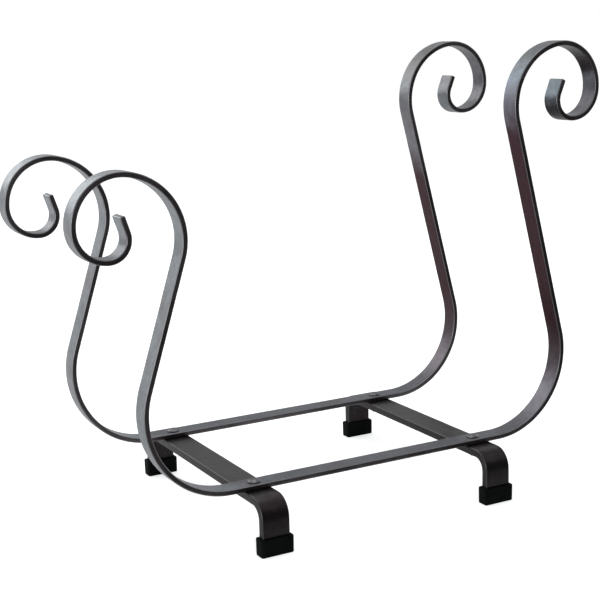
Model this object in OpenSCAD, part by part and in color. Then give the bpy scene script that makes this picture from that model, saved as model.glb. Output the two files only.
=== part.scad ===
// Firewood log rack: two scrolled flat-bar hoops stand side by side across two bent foot bars.
// A coach bolt, washer and nut clamp each of the four crossings, and every leg has a push-on cap.
// X runs along the hoops from the low end to the high end, Y from front to back, and Z up.
// The origin is on the floor, under the middle of the overall box.

/* [Hoop bar] */
// Width of the flat bar that the hoops are bent from
hoop_bar_w = 25; // [18:1:30]
// Thickness of the hoop bar
hoop_bar_t = 6.5; // [4:0.5:8]
// Distance between the middles of the front and the rear hoop
hoop_spacing = 234; // [180:2:280]

/* [Hoop shape] */
// Length of the straight bottom run of a hoop
floor_run = 376; // [360:2:460]
// Radius of the bottom corners, to the middle of the bar
corner_r = 100; // [70:2:120]
// Inward lean of the side at the low end, in degrees
low_lean = 18; // [10:0.5:20]
// Straight length of the side at the low end
low_side = 150; // [130:5:220]
// Inward lean of the side at the high end, in degrees
high_lean = 14.5; // [10:0.5:20]
// Straight length of the side at the high end
high_side = 280; // [230:5:340]

/* [Scroll] */
// Radius of the first, widest arc of a scroll, to the middle of the bar
scroll_r1 = 74; // [66:1:84]
// Turn of the first arc, in degrees
scroll_turn1 = 98; // [90:1:100]
// Radius of the second arc
scroll_r2 = 54; // [50:1:60]
// Turn of the second arc, in degrees
scroll_turn2 = 102; // [92:1:104]
// Radius of the third arc
scroll_r3 = 37; // [34:1:42]
// Turn of the third arc, in degrees
scroll_turn3 = 91; // [86:1:98]
// Radius of the innermost arc
scroll_r4 = 23; // [20:0.5:26]
// Turn of the innermost arc, in degrees
scroll_turn4 = 105; // [90:1:112]
// Straight tip at the inner end of a scroll
scroll_tip = 18; // [6:1:20]

/* [Foot bars] */
// Width of the flat bar that the foot bars are bent from
foot_bar_w = 35; // [28:1:40]
// Thickness of the foot bar
foot_bar_t = 10; // [6:0.5:10]
// Distance between the middles of the two foot bars
foot_spacing = 310; // [260:2:330]
// Height of the top of the foot bars above the floor
foot_h = 65; // [58:1:90]
// Depth over the outer faces of the legs of a foot bar
foot_depth = 340; // [300:2:380]
// Outer radius of the bends of a foot bar
foot_bend_r = 24; // [20:1:28]

/* [Foot caps] */
// Width of a cap, along X
cap_w = 42; // [41:0.5:50]
// Thickness of a cap, along Y
cap_t = 17; // [14:0.5:20]
// Height of a cap
cap_h = 21; // [16:1:26]
// Thickness of the tread under the end of the leg
cap_tread = 5; // [3:0.5:8]
// Radius of the upright corners of a cap
cap_corner_r = 3; // [1:0.5:3]

/* [Fasteners] */
// Diameter of the bolt shank
bolt_d = 6; // [5:1:6]
// Diameter of the domed bolt head
head_d = 16; // [14:0.5:17]
// Height of the domed bolt head
head_h = 3.6; // [3:0.1:4.5]
// Length of the bolt under its head
bolt_l = 25; // [25:1:30]

/* [Hidden] */
$fn = 96;
facet_angle = 4;              // turn of a bend between two points of its outline
neck_w = bolt_d + 0.4;        // square neck that stops the bolt from turning
neck_h = 4;
hole_gap = 0.1;               // play of the neck in its square hole, on each side
bolt_hole_d = bolt_d + 0.6;
thread_gap = 0.05;            // radial play that stands for the thread
head_rim_h = 0.8;             // upright rim round the edge of the bolt head
washer_od = 2 * bolt_d;
washer_id = bolt_d + 0.4;
washer_t = 1.6;
nut_af = bolt_d == 5 ? 8 : 10; // across flats
nut_h = bolt_d == 5 ? 4 : 5;
nut_chamfer = 30;             // degrees
past = 0.5;                   // how far a cut runs on past the face that it opens

hoop_y = hoop_spacing / 2;
foot_x = foot_spacing / 2;
hoop_z = foot_h + hoop_bar_t / 2;
cap_y = foot_depth / 2 - foot_bar_t / 2;

// A bend schedule is a list of [size, turn]: turn 0 is a straight run of that length, any other turn
// is an arc of that radius, in degrees, to the left when positive and to the right when negative.
scroll = [
    [scroll_r1, -scroll_turn1],
    [scroll_r2, -scroll_turn2],
    [scroll_r3, -scroll_turn3],
    [scroll_r4, -scroll_turn4],
    [scroll_tip, 0],
];
low_end = concat([[corner_r, 90 + low_lean], [low_side, 0]], scroll);
high_end = concat([[corner_r, 90 + high_lean], [high_side, 0]], scroll);
foot_run = 2 * (cap_y - (foot_bend_r - foot_bar_t / 2));
foot_leg = foot_h - foot_bend_r - cap_tread;
foot_end = [[foot_bend_r - foot_bar_t / 2, -90], [foot_leg, 0]];

// [x, y, heading] where one more bend leads from the place p
function step(p, bend) =
    let (size = bend[0], turn = bend[1], side = sign(turn), to = p[2] + turn)
    turn == 0
        ? [p[0] + size * cos(p[2]), p[1] + size * sin(p[2]), p[2]]
        : [p[0] + side * size * (sin(to) - sin(p[2])), p[1] - side * size * (cos(to) - cos(p[2])), to];

// [x, y, heading] at the start of bend number n
function start_of(bends, n) = n == 0 ? [0, 0, 0] : step(start_of(bends, n - 1), bends[n - 1]);

// [x, y, heading] a share k of the way along one bend that starts at p
function along(p, bend, k) =
    k == 0 ? p : step(p, bend[1] == 0 ? [k * bend[0], 0] : [bend[0], k * bend[1]]);

function facets(bend) = bend[1] == 0 ? 1 : ceil(abs(bend[1]) / facet_angle);

// One edge of a bar bent along a schedule: points at the distance out to the left of its middle line
function rail(bends, out) = [
    for (n = [0 : len(bends) - 1])
        let (p = start_of(bends, n), m = facets(bends[n]))
        for (k = [n == 0 ? 0 : 1 : m])
            let (q = along(p, bends[n], k / m)) [q[0] - out * sin(q[2]), q[1] + out * cos(q[2])]
];
function reversed(list) = [for (i = [len(list) - 1 : -1 : 0]) list[i]];

// How far the outer face of a right-hand arc reaches along X: its whole radius if it passes straight down
function arc_reach(p, bend) =
    let (to = p[2] + bend[1], middle = p[0] + bend[0] * sin(p[2]))
    middle + (bend[0] + hoop_bar_t / 2) * (p[2] >= -90 && to <= -90 ? 1 : max(-sin(p[2]), -sin(to)));

// How far an end of a hoop reaches along X past the end of the bottom run
function reach(bends) =
    max([for (n = [2 : len(bends) - 1]) if (bends[n][1] < 0) arc_reach(start_of(bends, n), bends[n])]);

low_reach = floor_run / 2 + reach(low_end);
high_reach = floor_run / 2 + reach(high_end);
middle_x = (low_reach - high_reach) / 2;   // middle of the bottom run, so that the overall box is centred

// Each crossing and each leg: [name, side along X, side along Y]
CORNERS = [
    ["front_left", -1, -1],
    ["front_right", 1, -1],
    ["rear_left", -1, 1],
    ["rear_right", 1, 1],
];

// A flat bar with a straight middle run and a bent end on each side, in the XY plane, its width across Z
module bent_bar(run, right_end, left_end, w, t) {
    right = concat(rail(right_end, -t / 2), reversed(rail(right_end, t / 2)));
    left = concat(rail(left_end, t / 2), reversed(rail(left_end, -t / 2)));
    linear_extrude(w, center = true) polygon(concat(
        [for (p = right) [run / 2 + p[0], p[1]]],
        [for (p = left) [-run / 2 - p[0], p[1]]]
    ));
}

module hoop(side) {
    color("slategray") translate([middle_x, side * hoop_y, hoop_z]) difference() {
        rotate([90, 0, 0]) bent_bar(floor_run, high_end, low_end, hoop_bar_w, hoop_bar_t);
        for (x = [-foot_x, foot_x]) translate([x, 0, 0])
            cube([neck_w + 2 * hole_gap, neck_w + 2 * hole_gap, hoop_bar_t + 2 * past], center = true);
    }
}

module foot_bar(side) {
    color("dimgray") translate([middle_x + side * foot_x, 0, foot_h - foot_bar_t / 2]) difference() {
        rotate([90, 0, 90]) bent_bar(foot_run, foot_end, foot_end, foot_bar_w, foot_bar_t);
        for (y = [-hoop_y, hoop_y]) translate([0, y, 0])
            cylinder(d = bolt_hole_d, h = foot_bar_t + 2 * past, center = true);
    }
}

module rounded_slab(w, t, h, r) {
    linear_extrude(h) {
        square([w - 2 * r, t], center = true);
        square([w, t - 2 * r], center = true);
        for (x = [-1, 1], y = [-1, 1]) translate([x * (w / 2 - r), y * (t / 2 - r)]) circle(r);
    }
}

// Push-on cap: a rounded block with a socket for the end of the leg
module foot_cap(corner) {
    color([0.05, 0.06, 0.06]) translate([middle_x + corner[1] * foot_x, corner[2] * cap_y, 0]) difference() {
        rounded_slab(cap_w, cap_t, cap_h, cap_corner_r);
        translate([-foot_bar_w / 2, -foot_bar_t / 2, cap_tread]) cube([foot_bar_w, foot_bar_t, cap_h]);
    }
}

// Everything a crossing is bolted with stands on the top face of the hoop bar
module at_crossing(corner, z) {
    translate([middle_x + corner[1] * foot_x, corner[2] * hoop_y, foot_h + hoop_bar_t + z]) children();
}

// Coach bolt: domed head, square neck in the hoop's square hole, round shank
module bolt(corner) {
    dome_h = head_h - head_rim_h;
    dome_r = (pow(head_d / 2, 2) + pow(dome_h, 2)) / (2 * dome_h);
    color("gray") at_crossing(corner, 0) {
        cylinder(d = head_d, h = head_rim_h);
        intersection() {
            translate([0, 0, head_h - dome_r]) sphere(dome_r);
            translate([0, 0, head_rim_h]) cylinder(d = head_d + 2 * past, h = head_h);
        }
        translate([-neck_w / 2, -neck_w / 2, -neck_h]) cube([neck_w, neck_w, neck_h]);
        translate([0, 0, -bolt_l]) cylinder(d = bolt_d, h = bolt_l - neck_h);
    }
}

module washer(corner) {
    color("silver") at_crossing(corner, -hoop_bar_t - foot_bar_t - washer_t) difference() {
        cylinder(d = washer_od, h = washer_t);
        translate([0, 0, -past]) cylinder(d = washer_id, h = washer_t + 2 * past);
    }
}

// Hexagon nut with its corners turned off at both ends
module nut(corner) {
    across_corners = nut_af / cos(30);
    rim_r = across_corners / 2 + past;
    rim_drop = (rim_r - nut_af / 2) * tan(nut_chamfer);
    color("silver") at_crossing(corner, -hoop_bar_t - foot_bar_t - washer_t - nut_h) difference() {
        intersection() {
            cylinder(d = across_corners, h = nut_h, $fn = 6);
            rotate_extrude() polygon([
                [0, 0], [nut_af / 2, 0], [rim_r, rim_drop],
                [rim_r, nut_h - rim_drop], [nut_af / 2, nut_h], [0, nut_h],
            ]);
        }
        translate([0, 0, -past]) cylinder(d = bolt_d + 2 * thread_gap, h = nut_h + 2 * past);
    }
}

hoop(-1);  // front_hoop
hoop(1);  // rear_hoop
foot_bar(-1);  // left_foot_bar
foot_bar(1);  // right_foot_bar
for (c = CORNERS) {
    foot_cap(c);
    bolt(c);
    washer(c);
    nut(c);
}
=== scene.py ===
"""Firewood log rack: hammered flat-bar hoops with scrolled ends, bolted across capped foot bars.

Everything is in metres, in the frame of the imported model: X along the hoops, Y from front to back, Z up.
"""

import math

import bpy
import numpy as np
from mathutils import Matrix, Vector


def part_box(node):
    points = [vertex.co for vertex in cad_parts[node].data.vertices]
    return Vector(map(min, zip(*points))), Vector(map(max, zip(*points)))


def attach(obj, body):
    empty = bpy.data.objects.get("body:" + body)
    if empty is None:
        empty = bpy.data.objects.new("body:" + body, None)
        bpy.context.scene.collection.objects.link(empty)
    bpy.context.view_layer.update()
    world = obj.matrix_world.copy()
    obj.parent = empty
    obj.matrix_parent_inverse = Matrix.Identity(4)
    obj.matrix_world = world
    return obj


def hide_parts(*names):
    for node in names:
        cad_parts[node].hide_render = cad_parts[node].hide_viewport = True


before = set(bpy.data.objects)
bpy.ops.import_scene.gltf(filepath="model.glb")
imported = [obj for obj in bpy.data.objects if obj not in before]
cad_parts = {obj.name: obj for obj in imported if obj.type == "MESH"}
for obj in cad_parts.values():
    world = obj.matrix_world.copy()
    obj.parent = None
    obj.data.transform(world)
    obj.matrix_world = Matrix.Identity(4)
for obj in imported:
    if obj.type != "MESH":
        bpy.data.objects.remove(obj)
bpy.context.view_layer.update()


# ---------------------------------------------------------------------------------------------- hoops
# Each hoop is one length of 25 x 6.5 mm steel bar, lightly hammered on both broad faces and bent to a
# straight floor, two round corners, sides that lean in, and scrolls that roll outwards. It is sealed under
# clear lacquer, and two coach bolts hold it down on the foot bars.

MM = 0.001
HOOP_BAR_W = 25 * MM
HOOP_BAR_T = 6.5 * MM
HOOP_FLOOR = 376 * MM
CORNER = (100 * MM, 90)
LOW_SIDE, LOW_LEAN = 150 * MM, 18
HIGH_SIDE, HIGH_LEAN = 280 * MM, 14.5
SCROLL = [(74 * MM, -98), (54 * MM, -102), (37 * MM, -91), (23 * MM, -105), (18 * MM, 0)]
EASED = 1.4 * MM
ROW_STEP = 1.5 * MM

# The dents' spacing and depth, and how far the broad faces and the narrow edges lie inside the drawn size
HAMMER_PITCH = 8 * MM
HOOP_DENT = 0.12 * MM
FACE_SINK = 0.04 * MM
EDGE_SINK = 0.25 * MM

# The two narrow edges are this far each way along their wave, and the two broad faces across their streaks
EDGE_SHIFT = 0.3
STREAK_SHIFT = 0.05


def bend_path(run, left_end, right_end, step):
    """A bent bar's middle line from its left tip to its right: points, headings and distance along it.

    An end is a list of (size, turn) in degrees: turn 0 is a straight of that length, any other an arc of that
    radius. Along an arc the heading grows evenly with distance, and the point goes round the arc's centre.
    """

    def one_end(bends):
        """Half of the line, from the middle of the straight run to one tip, turning upwards."""
        x, y, heading = run / 2, 0.0, 0.0
        parts = [np.array([[0.0, 0.0, 0.0]])]
        for size, turn in bends:
            bend = math.radians(turn)
            length = size * abs(bend) if turn else size
            t = np.linspace(0, 1, max(2, math.ceil(length / step)) + 1)[1:]
            if turn:
                side = math.copysign(1, bend)
                h = heading + bend * t
                px = x + side * size * (np.sin(h) - math.sin(heading))
                py = y - side * size * (np.cos(h) - math.cos(heading))
            else:
                h = np.full_like(t, heading)
                px = x + size * t * math.cos(heading)
                py = y + size * t * math.sin(heading)
            if len(parts) == 1:
                floor = np.linspace(0, run / 2, math.ceil(run / 2 / step) + 1)
                parts = [np.stack([floor, 0 * floor, 0 * floor], 1)]
            parts.append(np.stack([px, py, h], 1))
            x, y, heading = px[-1], py[-1], h[-1]
        return np.concatenate(parts)

    right, left = one_end(right_end), one_end(left_end)
    left = left[:0:-1] * [-1, 1, -1]
    line = np.concatenate([left, right])
    gaps = np.hypot(*np.diff(line[:, :2], axis=0).T)
    return line[:, :2], line[:, 2], np.concatenate([[0], np.cumsum(gaps)])


def flat_section(width, thick, eased, across, up, round_steps):
    """One turn round a flat bar's section, a rectangle with its four edges eased to a radius.

    Gives points (v, h) across the width and through the thickness, and which broad face each is on: 1 for the
    top, -1 for the bottom, and 0 on the narrow edges, fading over the eased corner.
    """
    a = np.linspace(0, np.pi / 2, round_steps + 1)
    corner = np.stack([np.cos(a), np.sin(a)], 1) * eased
    half = np.array([width / 2 - eased, thick / 2 - eased])
    quarter = corner + half
    upright = np.stack([np.full(up, width / 2), np.linspace(-half[1], half[1], up + 2)[1:-1]], 1)
    flat = np.stack([np.linspace(half[0], -half[0], across + 2)[1:-1], np.full(across, thick / 2)], 1)
    turned = quarter[::-1] * [-1, 1]
    top = np.concatenate([upright, quarter, flat, turned])
    points = np.concatenate([top, -top])
    lift = np.clip((np.abs(points[:, 1]) - half[1]) / eased, 0, 1)
    return points, np.sqrt(lift) * np.sign(points[:, 1])


def hammer_marks(along, across, pitch, seed):
    """Depth from 0 to 1 of overlapping round dents, one near each point of a jittered lattice.

    A dent's depth is (1 - (d / r)^2)^2 inside its radius r, d being the distance from its middle, and the
    deepest dent over a point counts. Offsets and radii are in shares of the pitch.
    """
    rng = np.random.default_rng(seed)
    u, w = along / pitch, (across - across.min()) / pitch
    rows, cols = int(u.max()) + 3, int(w.max()) + 3
    jitter = rng.uniform(-0.34, 0.34, (rows, cols, 2))
    radius = rng.uniform(0.62, 0.98, (rows, cols))
    weight = rng.uniform(0.45, 1.0, (rows, cols))
    i, j = np.floor(u).astype(int), np.floor(w).astype(int)
    depth = np.zeros_like(along)
    for di in (-1, 0, 1):
        for dj in (-1, 0, 1):
            a, b = (i + di) % rows, (j + dj) % cols
            da = u - (i + di + 0.5 + jitter[a, b, 0])
            db = w - (j + dj + 0.5 + jitter[a, b, 1])
            near = np.clip(1 - (da**2 + db**2) / radius[a, b] ** 2, 0, 1)
            depth = np.maximum(depth, weight[a, b] * near**2)
    return depth


def slow_waves(x, wavelength, seed):
    """A gentle uneven wave from -1 to 1 along x: the mean of five sines of mixed length and phase."""
    rng = np.random.default_rng(seed)
    lengths = wavelength * rng.uniform(0.6, 1.7, 5)
    phases = rng.uniform(0, 2 * np.pi, 5)
    return np.mean([np.sin(2 * np.pi * x / n + p) for n, p in zip(lengths, phases)], axis=0)


def skin(name, grid, uv=None, share=None, ring=False):
    """A closed mesh from a grid of points: rows go along the piece and columns once round it.

    The first and the last row each shrink to one point, the mean of the row, which closes the ends. On a ring
    the last row joins the first instead. Faces are turned outwards by the sign of the volume they enclose.
    """
    rows, cols = grid.shape[:2]
    points = grid.reshape(-1, 3)
    r, c = np.meshgrid(np.arange(rows if ring else rows - 1), np.arange(cols), indexing="ij")
    n, up = (c + 1) % cols, (r + 1) % rows
    faces = np.stack([r * cols + c, r * cols + n, up * cols + n, up * cols + c], -1).reshape(-1, 4).tolist()
    if not ring:
        points = np.concatenate([points, grid[0].mean(0)[None], grid[-1].mean(0)[None]])
        c = np.arange(cols)
        n = (c + 1) % cols
        last, pole = (rows - 1) * cols, np.full(cols, rows * cols)
        faces += np.stack([n, c, pole], 1).tolist()
        faces += np.stack([last + c, last + n, pole + 1], 1).tolist()
    a, b, c = grid[:-1], grid[1:], np.roll(grid[:-1], -1, 1)
    if np.sum(np.cross(a - points.mean(0), b - points.mean(0)) * (c - points.mean(0))) > 0:
        faces = [face[::-1] for face in faces]
    mesh = bpy.data.meshes.new(name)
    mesh.from_pydata(points, [], faces)
    mesh.polygons.foreach_set("use_smooth", np.ones(len(mesh.polygons), bool))
    if uv is not None:
        ends = np.array([uv[0].mean(0), uv[-1].mean(0)])
        values = np.concatenate([uv.reshape(-1, 2), ends])
        corner = np.empty(len(mesh.loops), int)
        mesh.loops.foreach_get("vertex_index", corner)
        mesh.uv_layers.new(name="bar").data.foreach_set("uv", values[corner].astype(np.float32).ravel())
    if share is not None:
        values = np.concatenate([share.ravel(), [0, 0]]).astype(np.float32)
        mesh.attributes.new("broad", "FLOAT", "POINT").data.foreach_set("value", values)
    piece = bpy.data.objects.new(name, mesh)
    bpy.context.scene.collection.objects.link(piece)
    return piece


def bent_bar(name, line, heading, along, width, thick, place, pitch, dent, seed):
    """A hammered flat bar carried along a bent middle line, its eased section square to the line.

    Point = line + normal * h + width direction * v, where (v, h) goes once round the section. The broad faces
    sink by the hammer marks, and the narrow edges wander in by a slow wave. At each tip the section shrinks
    along a quarter circle, so the cut end is eased too.
    """
    section, face = flat_section(width, thick, EASED, across=15, up=3, round_steps=4)
    tip = np.minimum(along, along[-1] - along)
    ease = EASED * (1 - np.sqrt(np.clip(1 - (1 - np.clip(tip / EASED, 0, 1)) ** 2, 0, 1)))
    s, v = np.meshgrid(along, section[:, 0], indexing="ij")
    h = np.broadcast_to(section[:, 1], s.shape)
    share = np.abs(face)[None, :]
    upper, lower = (hammer_marks(s, v, pitch, seed + side) for side in (0, 1))
    marks = np.where(face[None, :] > 0, upper, lower)
    narrow = 0.5 + 0.5 * slow_waves(s + EDGE_SHIFT * np.sign(v), 5 * pitch, seed + 2)
    v = v * (1 - 2 * (ease[:, None] + EDGE_SINK * narrow) / width)
    h = h * (1 - 2 * ease[:, None] / thick) - np.sign(h) * share * (dent * marks + FACE_SINK)
    normal = np.stack([-np.sin(heading), np.cos(heading)], 1)
    flat = line[:, None, :] + normal[:, None, :] * h[:, :, None]
    uv = np.stack([s, v + STREAK_SHIFT * np.sign(face)[None, :]], -1)
    return skin(name, place(flat, v), uv, np.broadcast_to(share, s.shape))


def tip_rows(line, heading, along, steps=5):
    """Adds rows close to both tips, so that their eased ends are round."""
    extra = EASED * (1 - np.cos(np.linspace(0, np.pi / 2, steps + 1)))[1:-1]
    s = np.unique(np.concatenate([along, extra, along[-1] - extra]))
    x, y, h = (np.interp(s, along, values) for values in (line[:, 0], line[:, 1], heading))
    return np.stack([x, y], 1), h, s


def hoop_line():
    """The hoop's middle line in its own plane, its floor centred on 0."""
    low = [(CORNER[0], CORNER[1] + LOW_LEAN), (LOW_SIDE, 0), *SCROLL]
    high = [(CORNER[0], CORNER[1] + HIGH_LEAN), (HIGH_SIDE, 0), *SCROLL]
    return tip_rows(*bend_path(HOOP_FLOOR, low, high, ROW_STEP))


def nodes_of(name):
    """A new material, and a function that adds a node to it with its settings and links."""
    material = bpy.data.materials.new(name)
    material.use_nodes = True
    tree = material.node_tree

    def add(kind, inputs=None, **settings):
        node = tree.nodes.new(kind)
        for key, value in settings.items():
            setattr(node, key, value)
        for key, value in (inputs or {}).items():
            if isinstance(value, bpy.types.NodeSocket):
                tree.links.new(value, node.inputs[key])
            else:
                node.inputs[key].default_value = value
        return node

    return material, tree, add


def ramp(add, source, stops):
    """A colour ramp through (place, colour) stops, read at a node's output."""
    node = add("ShaderNodeValToRGB", {"Fac": source})
    points = node.color_ramp.elements
    while len(points) < len(stops):
        points.new(0.5)
    for point, (place, colour) in zip(points, stops):
        point.position, point.color = place, (*colour, 1)
    return node.outputs["Color"]


def noise(add, vector, scale, detail):
    """Cloudy noise from 0 to 1 over a vector, with about as many clouds to its unit as scale says."""
    return add("ShaderNodeTexNoise", {"Vector": vector, "Scale": scale, "Detail": detail}).outputs["Fac"]


def mapped(add, value, start, end, low, high):
    """A value stretched from the range between start and end to the one between low and high."""
    ranges = {"From Min": start, "From Max": end, "To Min": low, "To Max": high}
    return add("ShaderNodeMapRange", {"Value": value, **ranges}).outputs["Result"]


def mixed(add, first, second, factor, blend="MIX"):
    """The first colour turned towards the second by a factor, or with MULTIPLY towards their product."""
    inputs = {"Factor": factor, "A": first, "B": second}
    return add("ShaderNodeMix", inputs, data_type="RGBA", blend_type=blend).outputs["Result"]


def bumped(add, height, strength, depth, under=None):
    """The normal of a surface raised by a height, on top of another normal where one is given."""
    inputs = {"Height": height, "Strength": strength, "Distance": depth}
    if under is not None:
        inputs["Normal"] = under
    return add("ShaderNodeBump", inputs).outputs["Normal"]


def lacquered_steel(name, cool, warm, dark, painted_highlight, edge_scale_and_shade, rough, painted_shade=()):
    """Hammered steel under clear lacquer.

    Blue-grey patches fade into warmer grey ones, and fine streaks from the rolling mill run along the bar.
    Scale stays on the narrow edges, darkened further by painted shade for the dark front that they mirror,
    and a painted highlight lightens the eased corners beside them. A tint of painted shade and painted
    reflection, as from a load of logs, multiplies the steel; it is given as (distance along the bar, colour)
    stops, and its borders wander a little.
    """
    material, tree, add = nodes_of(name)
    shader = tree.nodes["Principled BSDF"]
    place = add("ShaderNodeTexCoord")
    spot = place.outputs["Object"]
    drawn_out = add("ShaderNodeMapping", {"Vector": place.outputs["UV"], "Scale": (9, 900, 1)})
    patches = noise(add, spot, 16, 3)
    mottle = noise(add, spot, 130, 4)
    streaks = noise(add, drawn_out.outputs["Vector"], 1, 3)

    faded = tuple(0.82 * c for c in cool)
    tone = ramp(add, patches, [(0.36, warm), (0.52, cool), (0.7, faded)])
    blotches = ramp(add, mottle, [(0.3, (0.76, 0.75, 0.75)), (0.65, (1, 1, 1))])
    lines = ramp(add, streaks, [(0.35, (0.8, 0.8, 0.8)), (0.6, (1, 1, 1))])
    tone = mixed(add, tone, blotches, 0.85, "MULTIPLY")
    tone = mixed(add, tone, lines, 0.6, "MULTIPLY")
    # Painted shade and painted reflection: the steel is multiplied by a tint set along the bar
    if painted_shade:
        length = painted_shade[-1][0]
        along = add("ShaderNodeSeparateXYZ", {"Vector": place.outputs["UV"]})
        wander = mapped(add, noise(add, spot, 30, 3), 0, 1, -0.02, 0.02)
        where = add("ShaderNodeMath", {0: along.outputs["X"], 1: wander}, operation="ADD")
        share = mapped(add, where.outputs["Value"], 0, length, 0, 1)
        tint = ramp(add, share, [(far / length, colour) for far, colour in painted_shade])
        tone = mixed(add, tone, tint, 1, "MULTIPLY")

    # Narrow edges go dark: mill scale, and painted shade for the dark front that they mirror
    broad = add("ShaderNodeAttribute", attribute_name="broad").outputs["Fac"]
    scale = ramp(add, patches, [(0.42, dark), (0.66, tuple(2.1 * c for c in dark))])
    tone = mixed(add, tone, scale, mapped(add, broad, 0, 1, edge_scale_and_shade, 0))
    # Painted highlight: the eased corners beside the narrow edges are turned towards a bright steel colour
    no, yes = (0, 0, 0), (1, 1, 1)
    corner = ramp(add, broad, [(0.15, no), (0.6, yes), (0.93, yes), (0.99, no)])
    tone = mixed(add, tone, (*painted_highlight, 1), corner)

    tree.links.new(tone, shader.inputs["Base Color"])
    tree.links.new(mapped(add, streaks, 0.3, 0.7, *rough), shader.inputs["Roughness"])
    shader.inputs["Metallic"].default_value = 1.0
    shader.inputs["Coat Weight"].default_value = 0.12
    shader.inputs["Coat Roughness"].default_value = 0.22
    dents = add(
        "ShaderNodeTexVoronoi",
        {"Vector": spot, "Scale": 1 / HAMMER_PITCH, "Smoothness": 0.8},
        feature="SMOOTH_F1",
    )
    drawn = bumped(add, streaks, 0.35, 0.2 * MM)
    beaten = bumped(add, dents.outputs["Distance"], 0.16, 1.2 * MM, drawn)
    tree.links.new(beaten, shader.inputs["Normal"])
    return material


# Painted shade and painted reflection along the hoops, as from a load of logs: both hoops are greyer near the
# low tip, darkened along the floor as painted shade, and brown-red up the high side as a painted reflection
# of the logs, which goes on further on the front hoop. The front hoop's high scroll has two more dark places.
low_painted_shade = [
    (0.0, (1, 1, 1)), (0.025, (1, 1, 1)), (0.045, (0.66, 0.67, 0.69)), (0.075, (0.75, 0.76, 0.77)),
    (0.12, (1, 1, 1)), (0.62, (1, 1, 1)), (0.70, (0.42, 0.42, 0.44)), (1.05, (0.42, 0.41, 0.43)),
    (1.15, (0.5, 0.46, 0.49)), (1.25, (0.15, 0.042, 0.055)),
]
high_painted_shade = {
    "front_hoop": [
        (1.508, (0.17, 0.06, 0.08)), (1.53, (0.6, 0.57, 0.64)), (1.56, (0.61, 0.66, 0.75)),
        (1.60, (0.6, 0.62, 0.61)), (1.66, (0.4, 0.36, 0.37)), (1.69, (0.035, 0.012, 0.017)),
        (1.713, (0.035, 0.016, 0.02)), (1.727, (0.45, 0.45, 0.48)), (1.75, (0.27, 0.26, 0.28)),
        (1.77, (0.37, 0.34, 0.36)), (1.80, (0.85, 0.83, 0.82)), (1.815, (0.055, 0.035, 0.045)),
        (1.826, (0.055, 0.04, 0.045)), (1.838, (0.46, 0.5, 0.54)), (1.86, (0.44, 0.49, 0.5)),
    ],
    "rear_hoop": [
        (1.435, (0.17, 0.06, 0.075)), (1.457, (0.5, 0.44, 0.46)), (1.475, (0.72, 0.66, 0.68)),
        (1.51, (0.68, 0.6, 0.61)), (1.55, (0.67, 0.66, 0.66)), (1.60, (0.68, 0.68, 0.66)),
        (1.66, (0.6, 0.58, 0.58)), (1.70, (0.55, 0.52, 0.54)), (1.735, (0.42, 0.38, 0.4)),
        (1.78, (0.6, 0.58, 0.59)), (1.86, (0.68, 0.7, 0.7)),
    ],
}

line, heading, along = hoop_line()
for number, node in enumerate(("front_hoop", "rear_hoop")):
    low, high = (np.array(corner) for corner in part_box(node))
    reach = line[:, 0] + np.abs(np.sin(heading)) * HOOP_BAR_T / 2
    middle_x = high[0] - reach.max()
    middle_y, floor_z = (low[1] + high[1]) / 2, low[2] + HOOP_BAR_T / 2

    def stand(flat, v, x=middle_x, y=middle_y, z=floor_z):
        """Stands the line up in X and Z, with the bar's width along Y."""
        return np.stack([flat[..., 0] + x, y - v, flat[..., 1] + z], -1)

    hoop = bent_bar(
        node + "_bar",
        *(line, heading, along, HOOP_BAR_W, HOOP_BAR_T, stand),
        pitch=HAMMER_PITCH,
        dent=HOOP_DENT,
        seed=10 + number,
    )
    hammered_steel = lacquered_steel(
        node + "_steel",
        cool=(0.375, 0.395, 0.415),
        warm=(0.32, 0.31, 0.32),
        dark=(0.085, 0.073, 0.077),
        painted_highlight=(0.26, 0.26, 0.27),
        edge_scale_and_shade=0.85,
        rough=(0.36, 0.48),
        painted_shade=low_painted_shade + high_painted_shade[node],
    )
    hoop.data.materials.append(hammered_steel)
    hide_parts(node)
    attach(hoop, "root")


# ----------------------------------------------------------------------------------------- foot bars
# Each foot bar is a length of 35 x 10 mm steel bar, hammered lightly and bent down at both ends into a leg.
# The hoops lie across its top, and the ends of its legs are pushed into the foot caps.

FOOT_BAR_W = 35 * MM
FOOT_BAR_T = 10 * MM
FOOT_BEND = 19 * MM
FOOT_PITCH = 9 * MM
FOOT_DENT = 0.1 * MM

# The foot bars' steel is set far darker than the hoops', partly as painted shade for a load's shadow over
# them and the dark front their legs face
foot_steel = lacquered_steel(
    "foot_steel",
    cool=(0.05, 0.045, 0.047),
    warm=(0.045, 0.033, 0.035),
    dark=(0.02, 0.018, 0.018),
    painted_highlight=(0.09, 0.085, 0.085),
    edge_scale_and_shade=0.15,
    rough=(0.34, 0.46),
)

for number, node in enumerate(("left_foot_bar", "right_foot_bar")):
    low, high = (np.array(corner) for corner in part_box(node))
    middle = (low + high) / 2
    leg = high[2] - low[2] - FOOT_BAR_T / 2 - FOOT_BEND
    run = high[1] - low[1] - FOOT_BAR_T - 2 * FOOT_BEND
    foot_end = [(FOOT_BEND, -90), (leg, 0)]
    foot_line, foot_heading, foot_along = tip_rows(*bend_path(run, foot_end, foot_end, ROW_STEP))

    def lie(flat, v, x=middle[0], y=middle[1], z=high[2] - FOOT_BAR_T / 2):
        """Lays the line in Y and Z, with the bar's width along X."""
        return np.stack([x + v, flat[..., 0] + y, flat[..., 1] + z], -1)

    foot = bent_bar(
        node + "_bar",
        *(foot_line, foot_heading, foot_along, FOOT_BAR_W, FOOT_BAR_T, lie),
        pitch=FOOT_PITCH,
        dent=FOOT_DENT,
        seed=20 + number,
    )
    foot.data.materials.append(foot_steel)
    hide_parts(node)
    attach(foot, "root")


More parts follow.
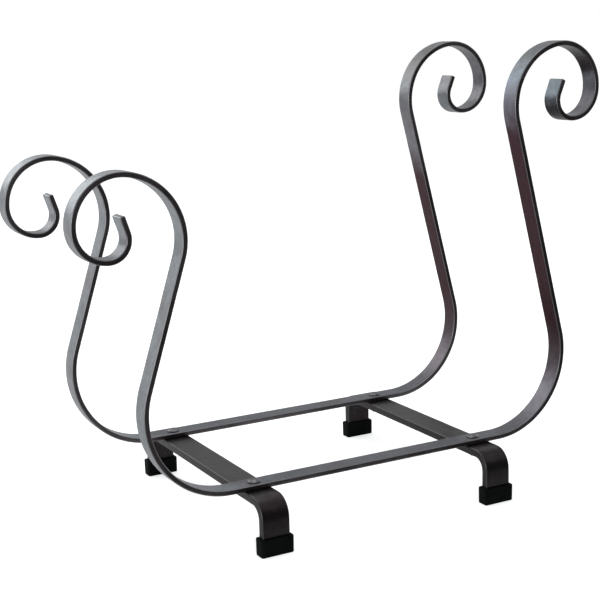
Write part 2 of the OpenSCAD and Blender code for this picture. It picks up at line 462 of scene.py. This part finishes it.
# ----------------------------------------------------------------------------------------- foot caps
# Moulded rubber caps pushed on the legs so that the steel doesn't mark the floor. Each is a thick-walled
# block with a socket, round upright corners, a slight draft and an eased tread.

SOCKET_TREAD = 5 * MM
CORNER_ROUND = 3 * MM
LEAST_ROUND = 0.4 * MM
TREAD_ROUND = 1.5 * MM
LIP_ROUND = 1.2 * MM
DRAFT = 0.25 * MM
CAP_COLS = 96

# The tread's flat as distances inside the outer size, and the socket's mouth as (depth below the rim, gap
# round the leg)
TREAD_FLAT = (4.0 * MM, 2.6 * MM)
SOCKET_MOUTH = ((0, 0.8 * MM), (0.25 * MM, 0.25 * MM), (0.8 * MM, 0))
SOCKET_ROUND = 0.3 * MM


def cap_ring(half_x, half_y, radius, z):
    """One level ring of the cap, a rectangle with round corners at height z.

    The outline of half sizes (a, b) with corner radius r is the box (a - r, b - r) pushed outwards by r, and
    the points are spaced evenly along it.
    """
    a = np.linspace(0, np.pi / 2, 9)
    arc = np.stack([np.cos(a), np.sin(a)], 1) * radius
    quarter = arc + [half_x - radius, half_y - radius]
    loop = np.concatenate([quarter, quarter[::-1] * [-1, 1], -quarter, quarter[::-1] * [1, -1]])
    loop = np.concatenate([loop, loop[:1]])
    far = np.concatenate([[0], np.cumsum(np.hypot(*np.diff(loop, axis=0).T))])
    s = np.linspace(0, far[-1], CAP_COLS, endpoint=False)
    return np.stack([np.interp(s, far, loop[:, 0]), np.interp(s, far, loop[:, 1]), np.full(CAP_COLS, z)], 1)


def moulded_rubber():
    """Matt black rubber: a faint mould grain, dust that lightens it in patches, and a soft uneven sheen."""
    material, tree, add = nodes_of("cap_rubber")
    shader = tree.nodes["Principled BSDF"]
    spot = add("ShaderNodeTexCoord").outputs["Object"]
    dust = noise(add, spot, 60, 5)
    colour = ramp(add, dust, [(0.35, (0.0015, 0.0025, 0.0024)), (0.75, (0.005, 0.006, 0.006))])
    tree.links.new(colour, shader.inputs["Base Color"])
    tree.links.new(mapped(add, dust, 0, 1, 0.5, 0.75), shader.inputs["Roughness"])
    shader.inputs["Specular IOR Level"].default_value = 0.06
    tree.links.new(bumped(add, noise(add, spot, 1400, 2), 0.25, 0.2 * MM), shader.inputs["Normal"])
    return material


cap_rubber = moulded_rubber()
CORNERS = ("front_left", "front_right", "rear_left", "rear_right")

for corner in CORNERS:
    node = corner + "_foot_cap"
    low, high = (np.array(point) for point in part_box(node))
    middle, half, tall = (low + high) / 2, (high - low) / 2, high[2] - low[2]
    quarter = np.linspace(0, np.pi / 2, 7)
    wall = tall - TREAD_ROUND - LIP_ROUND
    # The outside as (height, distance inside the outer size), from the middle of the tread up to the rim
    rings = [(0.0, inside) for inside in TREAD_FLAT]
    rings += [(TREAD_ROUND * (1 - np.cos(q)), TREAD_ROUND * (1 - np.sin(q)) + DRAFT) for q in quarter]
    rings += [(TREAD_ROUND + wall * up, DRAFT * (1 - up) ** 2) for up in np.linspace(0.06, 1, 12)]
    rings += [(tall - LIP_ROUND * (1 - np.sin(q)), LIP_ROUND * (1 - np.cos(q))) for q in quarter[1:]]
    outside = [
        cap_ring(half[0] - inside, half[1] - inside, max(CORNER_ROUND - inside, LEAST_ROUND), z)
        for z, inside in rings
    ]
    # The socket, from the rim down the leg's sides to the tread
    socket = [
        cap_ring(FOOT_BAR_W / 2 + gap, FOOT_BAR_T / 2 + gap, SOCKET_ROUND + gap, z)
        for z, gap in [(tall - deep, gap) for deep, gap in SOCKET_MOUTH] + [(SOCKET_TREAD, 0)]
    ]
    grid = np.array(outside + socket) + [middle[0], middle[1], low[2]]
    cap = skin(node + "_boot", grid)
    cap.data.materials.append(cap_rubber)
    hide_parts(node)
    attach(cap, "root")


# ----------------------------------------------------------------------------------------- fasteners
# M6 coach bolts drop through the hoops' square holes and the foot bars' round ones. Each is held below by a
# flat washer and a hexagon nut. All are dark zinc-plated steel.

BOLT_R = 3 * MM
NECK_HALF = 3.2 * MM
NECK_DEEP = 4 * MM
NECK_CORNER_R = 1.3 * NECK_HALF
HEAD_R = 8 * MM
HEAD_H = 3.6 * MM
HEAD_RIM = 0.8 * MM
BREAK = 0.3 * MM
THREAD_PITCH = 1 * MM
THREAD_DEEP = 0.3 * MM
PLAIN_SHANK = 0.8 * MM
WASHER_GAP = 0.2 * MM
NUT_FLAT = 5 * MM
NUT_CHAMFER = math.radians(30)
NUT_CHAMFER_H = 0.5 * MM
CRISP = math.radians(32)
DOME_RINGS = 14
TURN_COLS = 72

# The bolt's point, as (distance inside the thread, height above the end), and how high the thread stops
POINT = ((0.45 * MM, 0.1 * MM), (0.7 * MM, 0))
POINT_H = 0.6 * MM


def plated_steel():
    """Dark zinc plate: a dull cloudy grey, finely pitted, whose sheen changes with the clouds."""
    material, tree, add = nodes_of("fastener_steel")
    shader = tree.nodes["Principled BSDF"]
    spot = add("ShaderNodeTexCoord").outputs["Object"]
    cloud = noise(add, spot, 220, 4)
    colour = ramp(add, cloud, [(0.3, (0.10, 0.095, 0.10)), (0.7, (0.2, 0.2, 0.21))])
    tree.links.new(colour, shader.inputs["Base Color"])
    tree.links.new(mapped(add, cloud, 0, 1, 0.28, 0.5), shader.inputs["Roughness"])
    shader.inputs["Metallic"].default_value = 1.0
    tree.links.new(bumped(add, noise(add, spot, 2600, 2), 0.3, 0.1 * MM), shader.inputs["Normal"])
    return material


def turned(radius, height, centre):
    """Rings of points from a table of radii, one row a ring and one column an angle, at the given heights."""
    angle = np.linspace(0, 2 * np.pi, radius.shape[1], endpoint=False)
    height = np.broadcast_to(height, radius.shape)
    return np.stack([radius * np.cos(angle), radius * np.sin(angle), height], -1) + centre


def thread_wave(z, angle):
    """A screw thread's depth, 0 at its crest and 1 at its root: a cosine of z that turns with the angle."""
    return 0.5 - 0.5 * np.cos(2 * np.pi * (z / THREAD_PITCH - angle / (2 * np.pi)))


def hexagon(angle, flat):
    """A hexagon's radius at an angle, flat being half its size across flats, with a corner at angle 0."""
    return flat / np.cos(np.mod(angle, np.pi / 3) - np.pi / 6)


def fit_fastener(piece, node):
    """Gives a fastener crisp edges, its finish and its place on the rack."""
    piece.data.set_sharp_from_angle(angle=CRISP)
    piece.data.materials.append(fastener_steel)
    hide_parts(node)
    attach(piece, "root")


fastener_steel = plated_steel()
turn = np.linspace(0, 2 * np.pi, TURN_COLS, endpoint=False)
ring = np.ones_like(turn)

for corner in CORNERS:
    # A bolt is turned from its domed head down over its square neck and its threaded shank to its point
    node = corner + "_bolt"
    low, high = (np.array(point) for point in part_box(node))
    middle = (low + high) / 2 * [1, 1, 0]
    seat = high[2] - HEAD_H
    dome = HEAD_H - HEAD_RIM
    ball = (HEAD_R**2 + dome**2) / (2 * dome)
    r_dome = HEAD_R * np.sin(np.linspace(0.02, np.pi / 2, DOME_RINGS))
    z_dome = high[2] - ball + np.sqrt(ball**2 - r_dome**2)
    square = NECK_HALF / np.maximum(np.abs(np.cos(turn)), np.abs(np.sin(turn)))
    square = np.minimum(square, NECK_CORNER_R)
    rows = [(r * ring, z) for r, z in zip(r_dome, z_dome)]
    rows += [(HEAD_R * ring, seat + BREAK), ((HEAD_R - BREAK) * ring, seat)]
    rows += [(square, seat), (square, seat - NECK_DEEP), (BOLT_R * ring, seat - NECK_DEEP - BREAK)]
    shank = np.arange(seat - NECK_DEEP - PLAIN_SHANK, low[2] + POINT_H, -THREAD_PITCH / 8)
    rows += [(BOLT_R - THREAD_DEEP * thread_wave(z, turn), z) for z in shank]
    rows += [((BOLT_R - inside) * ring, low[2] + up) for inside, up in POINT]
    radii = np.array([r for r, z in rows])
    heights = np.array([z for r, z in rows])[:, None]
    fit_fastener(skin(node + "_turned", turned(radii, heights, middle)), node)

    # A washer is a flat section with rounded rims, taken once round the bolt
    node = corner + "_washer"
    low, high = (np.array(point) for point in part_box(node))
    centre = (low + high) / 2
    outer, inner = (high[0] - low[0]) / 2, BOLT_R + WASHER_GAP
    section, _ = flat_section(outer - inner, high[2] - low[2], BREAK, across=4, up=1, round_steps=4)
    radii = (inner + outer) / 2 + section[:, :1] * ring
    fit_fastener(skin(node + "_turned", turned(radii, section[:, 1:], centre), ring=True), node)

    # A nut goes up its chamfered side, over its top and down its bore. A chamfer is a cone that trims the
    # hexagon's corners
    node = corner + "_nut"
    low, high = (np.array(point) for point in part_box(node))
    centre, tall = (low + high) / 2 * [1, 1, 0] + [0, 0, low[2]], high[2] - low[2]
    chamfer = np.linspace(0, NUT_CHAMFER_H, 8)
    side = np.concatenate([chamfer, tall - chamfer[::-1]])
    cone = NUT_FLAT + np.minimum(side, tall - side) / math.tan(NUT_CHAMFER)
    radii = np.minimum(hexagon(turn, NUT_FLAT), cone[:, None])
    bore = np.array([(BREAK, tall), (0, tall - BREAK), (0, BREAK), (BREAK, 0)])
    radii = np.concatenate([radii, (BOLT_R + bore[:, :1]) * ring])
    heights = np.concatenate([side, bore[:, 1]])[:, None]
    fit_fastener(skin(node + "_turned", turned(radii, heights, centre), ring=True), node)


# -------------------------------------------------------------------------------------------- studio
# A plain pale floor in a white room, with big soft lights behind, on the left and above, and a weaker one on
# the right. A dark card in front, lying on the floor and then standing up, is what the narrow edges mirror.


def studio_sheet(name, points, faces):
    """A flat or folded sheet that belongs to the studio and not to the rack."""
    mesh = bpy.data.meshes.new(name)
    mesh.from_pydata(points, [], faces)
    sheet = bpy.data.objects.new(name, mesh)
    bpy.context.scene.collection.objects.link(sheet)
    return sheet


wide = 9
floor_corners = [(-wide, -wide, 0), (wide, -wide, 0), (wide, wide, 0), (-wide, wide, 0)]
floor = studio_sheet("floor", floor_corners, [(0, 1, 2, 3)])
pale_floor, tree, add = nodes_of("pale_floor")
pale = tree.nodes["Principled BSDF"].inputs
pale["Base Color"].default_value = (0.8, 0.8, 0.8, 1)
pale["Roughness"].default_value = 0.9
pale["Specular IOR Level"].default_value = 0
pale["Emission Color"].default_value = (1, 1, 1, 1)
glow = 0.62
to_camera = add("ShaderNodeLightPath").outputs["Is Camera Ray"]
tree.links.new(mapped(add, to_camera, 0, 1, 0, glow), pale["Emission Strength"])
floor.data.materials.append(pale_floor)

# The card's corners in Y and Z, from its near edge over the fold to its top, and its two ends in X
card_near, card_far, card_top = (-0.24, 0.002), (-2, 0.002), (-2, 1.6)
card_ends = (-1.3, 4)
card = studio_sheet(
    "dark_card",
    [(x, y, z) for y, z in (card_near, card_far, card_top) for x in card_ends],
    [(0, 1, 3, 2), (2, 3, 5, 4)],
)
dark_felt, tree, add = nodes_of("dark_felt")
felt = tree.nodes["Principled BSDF"].inputs
felt["Base Color"].default_value = (0.12, 0.115, 0.115, 1)
felt["Specular IOR Level"].default_value = 0
card.data.materials.append(dark_felt)
card.visible_camera = card.visible_diffuse = card.visible_shadow = False

# The room lights the rack with the dim background, and the camera sees the white one
room = bpy.data.worlds.new("white_room")
bpy.context.scene.world = room
room.use_nodes = True
tree = room.node_tree
dim = tree.nodes["Background"]
dim.inputs["Color"].default_value = (0.96, 0.98, 1, 1)
dim.inputs["Strength"].default_value = 0.6
white = tree.nodes.new("ShaderNodeBackground")
white.inputs["Color"].default_value = (1, 1, 1, 1)
seen = tree.nodes.new("ShaderNodeLightPath")
either = tree.nodes.new("ShaderNodeMixShader")
tree.links.new(seen.outputs["Is Camera Ray"], either.inputs[0])
tree.links.new(dim.outputs["Background"], either.inputs[1])
tree.links.new(white.outputs["Background"], either.inputs[2])
tree.links.new(either.outputs["Shader"], tree.nodes["World Output"].inputs["Surface"])


def soft_light(name, place, size, power, colour=(1, 1, 1), aim=(0, 0, 0.28)):
    """A square area light that faces the middle of the rack."""
    lamp = bpy.data.lights.new(name, "AREA")
    lamp.size, lamp.energy, lamp.color = size, power, colour
    light = bpy.data.objects.new(name, lamp)
    bpy.context.scene.collection.objects.link(light)
    light.location = place
    light.visible_camera = False
    light.rotation_euler = (Vector(place) - Vector(aim)).to_track_quat("Z", "Y").to_euler()


soft_light("back_left_light", (-1.2, 2.5, 1.9), size=2.4, power=27, colour=(0.97, 0.99, 1))
soft_light("left_light", (-2.6, -1.3, 0.35), size=1.2, power=24)
soft_light("top_light", (0.2, 0.8, 2.8), size=1.8, power=12)
soft_light("right_light", (2.7, 0.8, 1.1), size=1.8, power=8)

# The camera stands to the front left, a little above the rack, and leans very slightly
eye = bpy.data.cameras.new("eye")
camera = bpy.data.objects.new("eye", eye)
bpy.context.scene.collection.objects.link(camera)
bpy.context.scene.camera = camera
eye.sensor_width = 36
eye.lens = 78.64
yaw, pitch, roll = (math.radians(angle) for angle in (28.585, 11.642, -1.4725))
level = Matrix.Rotation(-yaw, 4, "Z") @ Matrix.Rotation(math.pi / 2 - pitch, 4, "X")
camera.matrix_world = Matrix.Translation((-0.7831, -1.4097, 0.5806)) @ level @ Matrix.Rotation(roll, 4, "Z")
bpy.context.scene.view_settings.view_transform = "Standard"
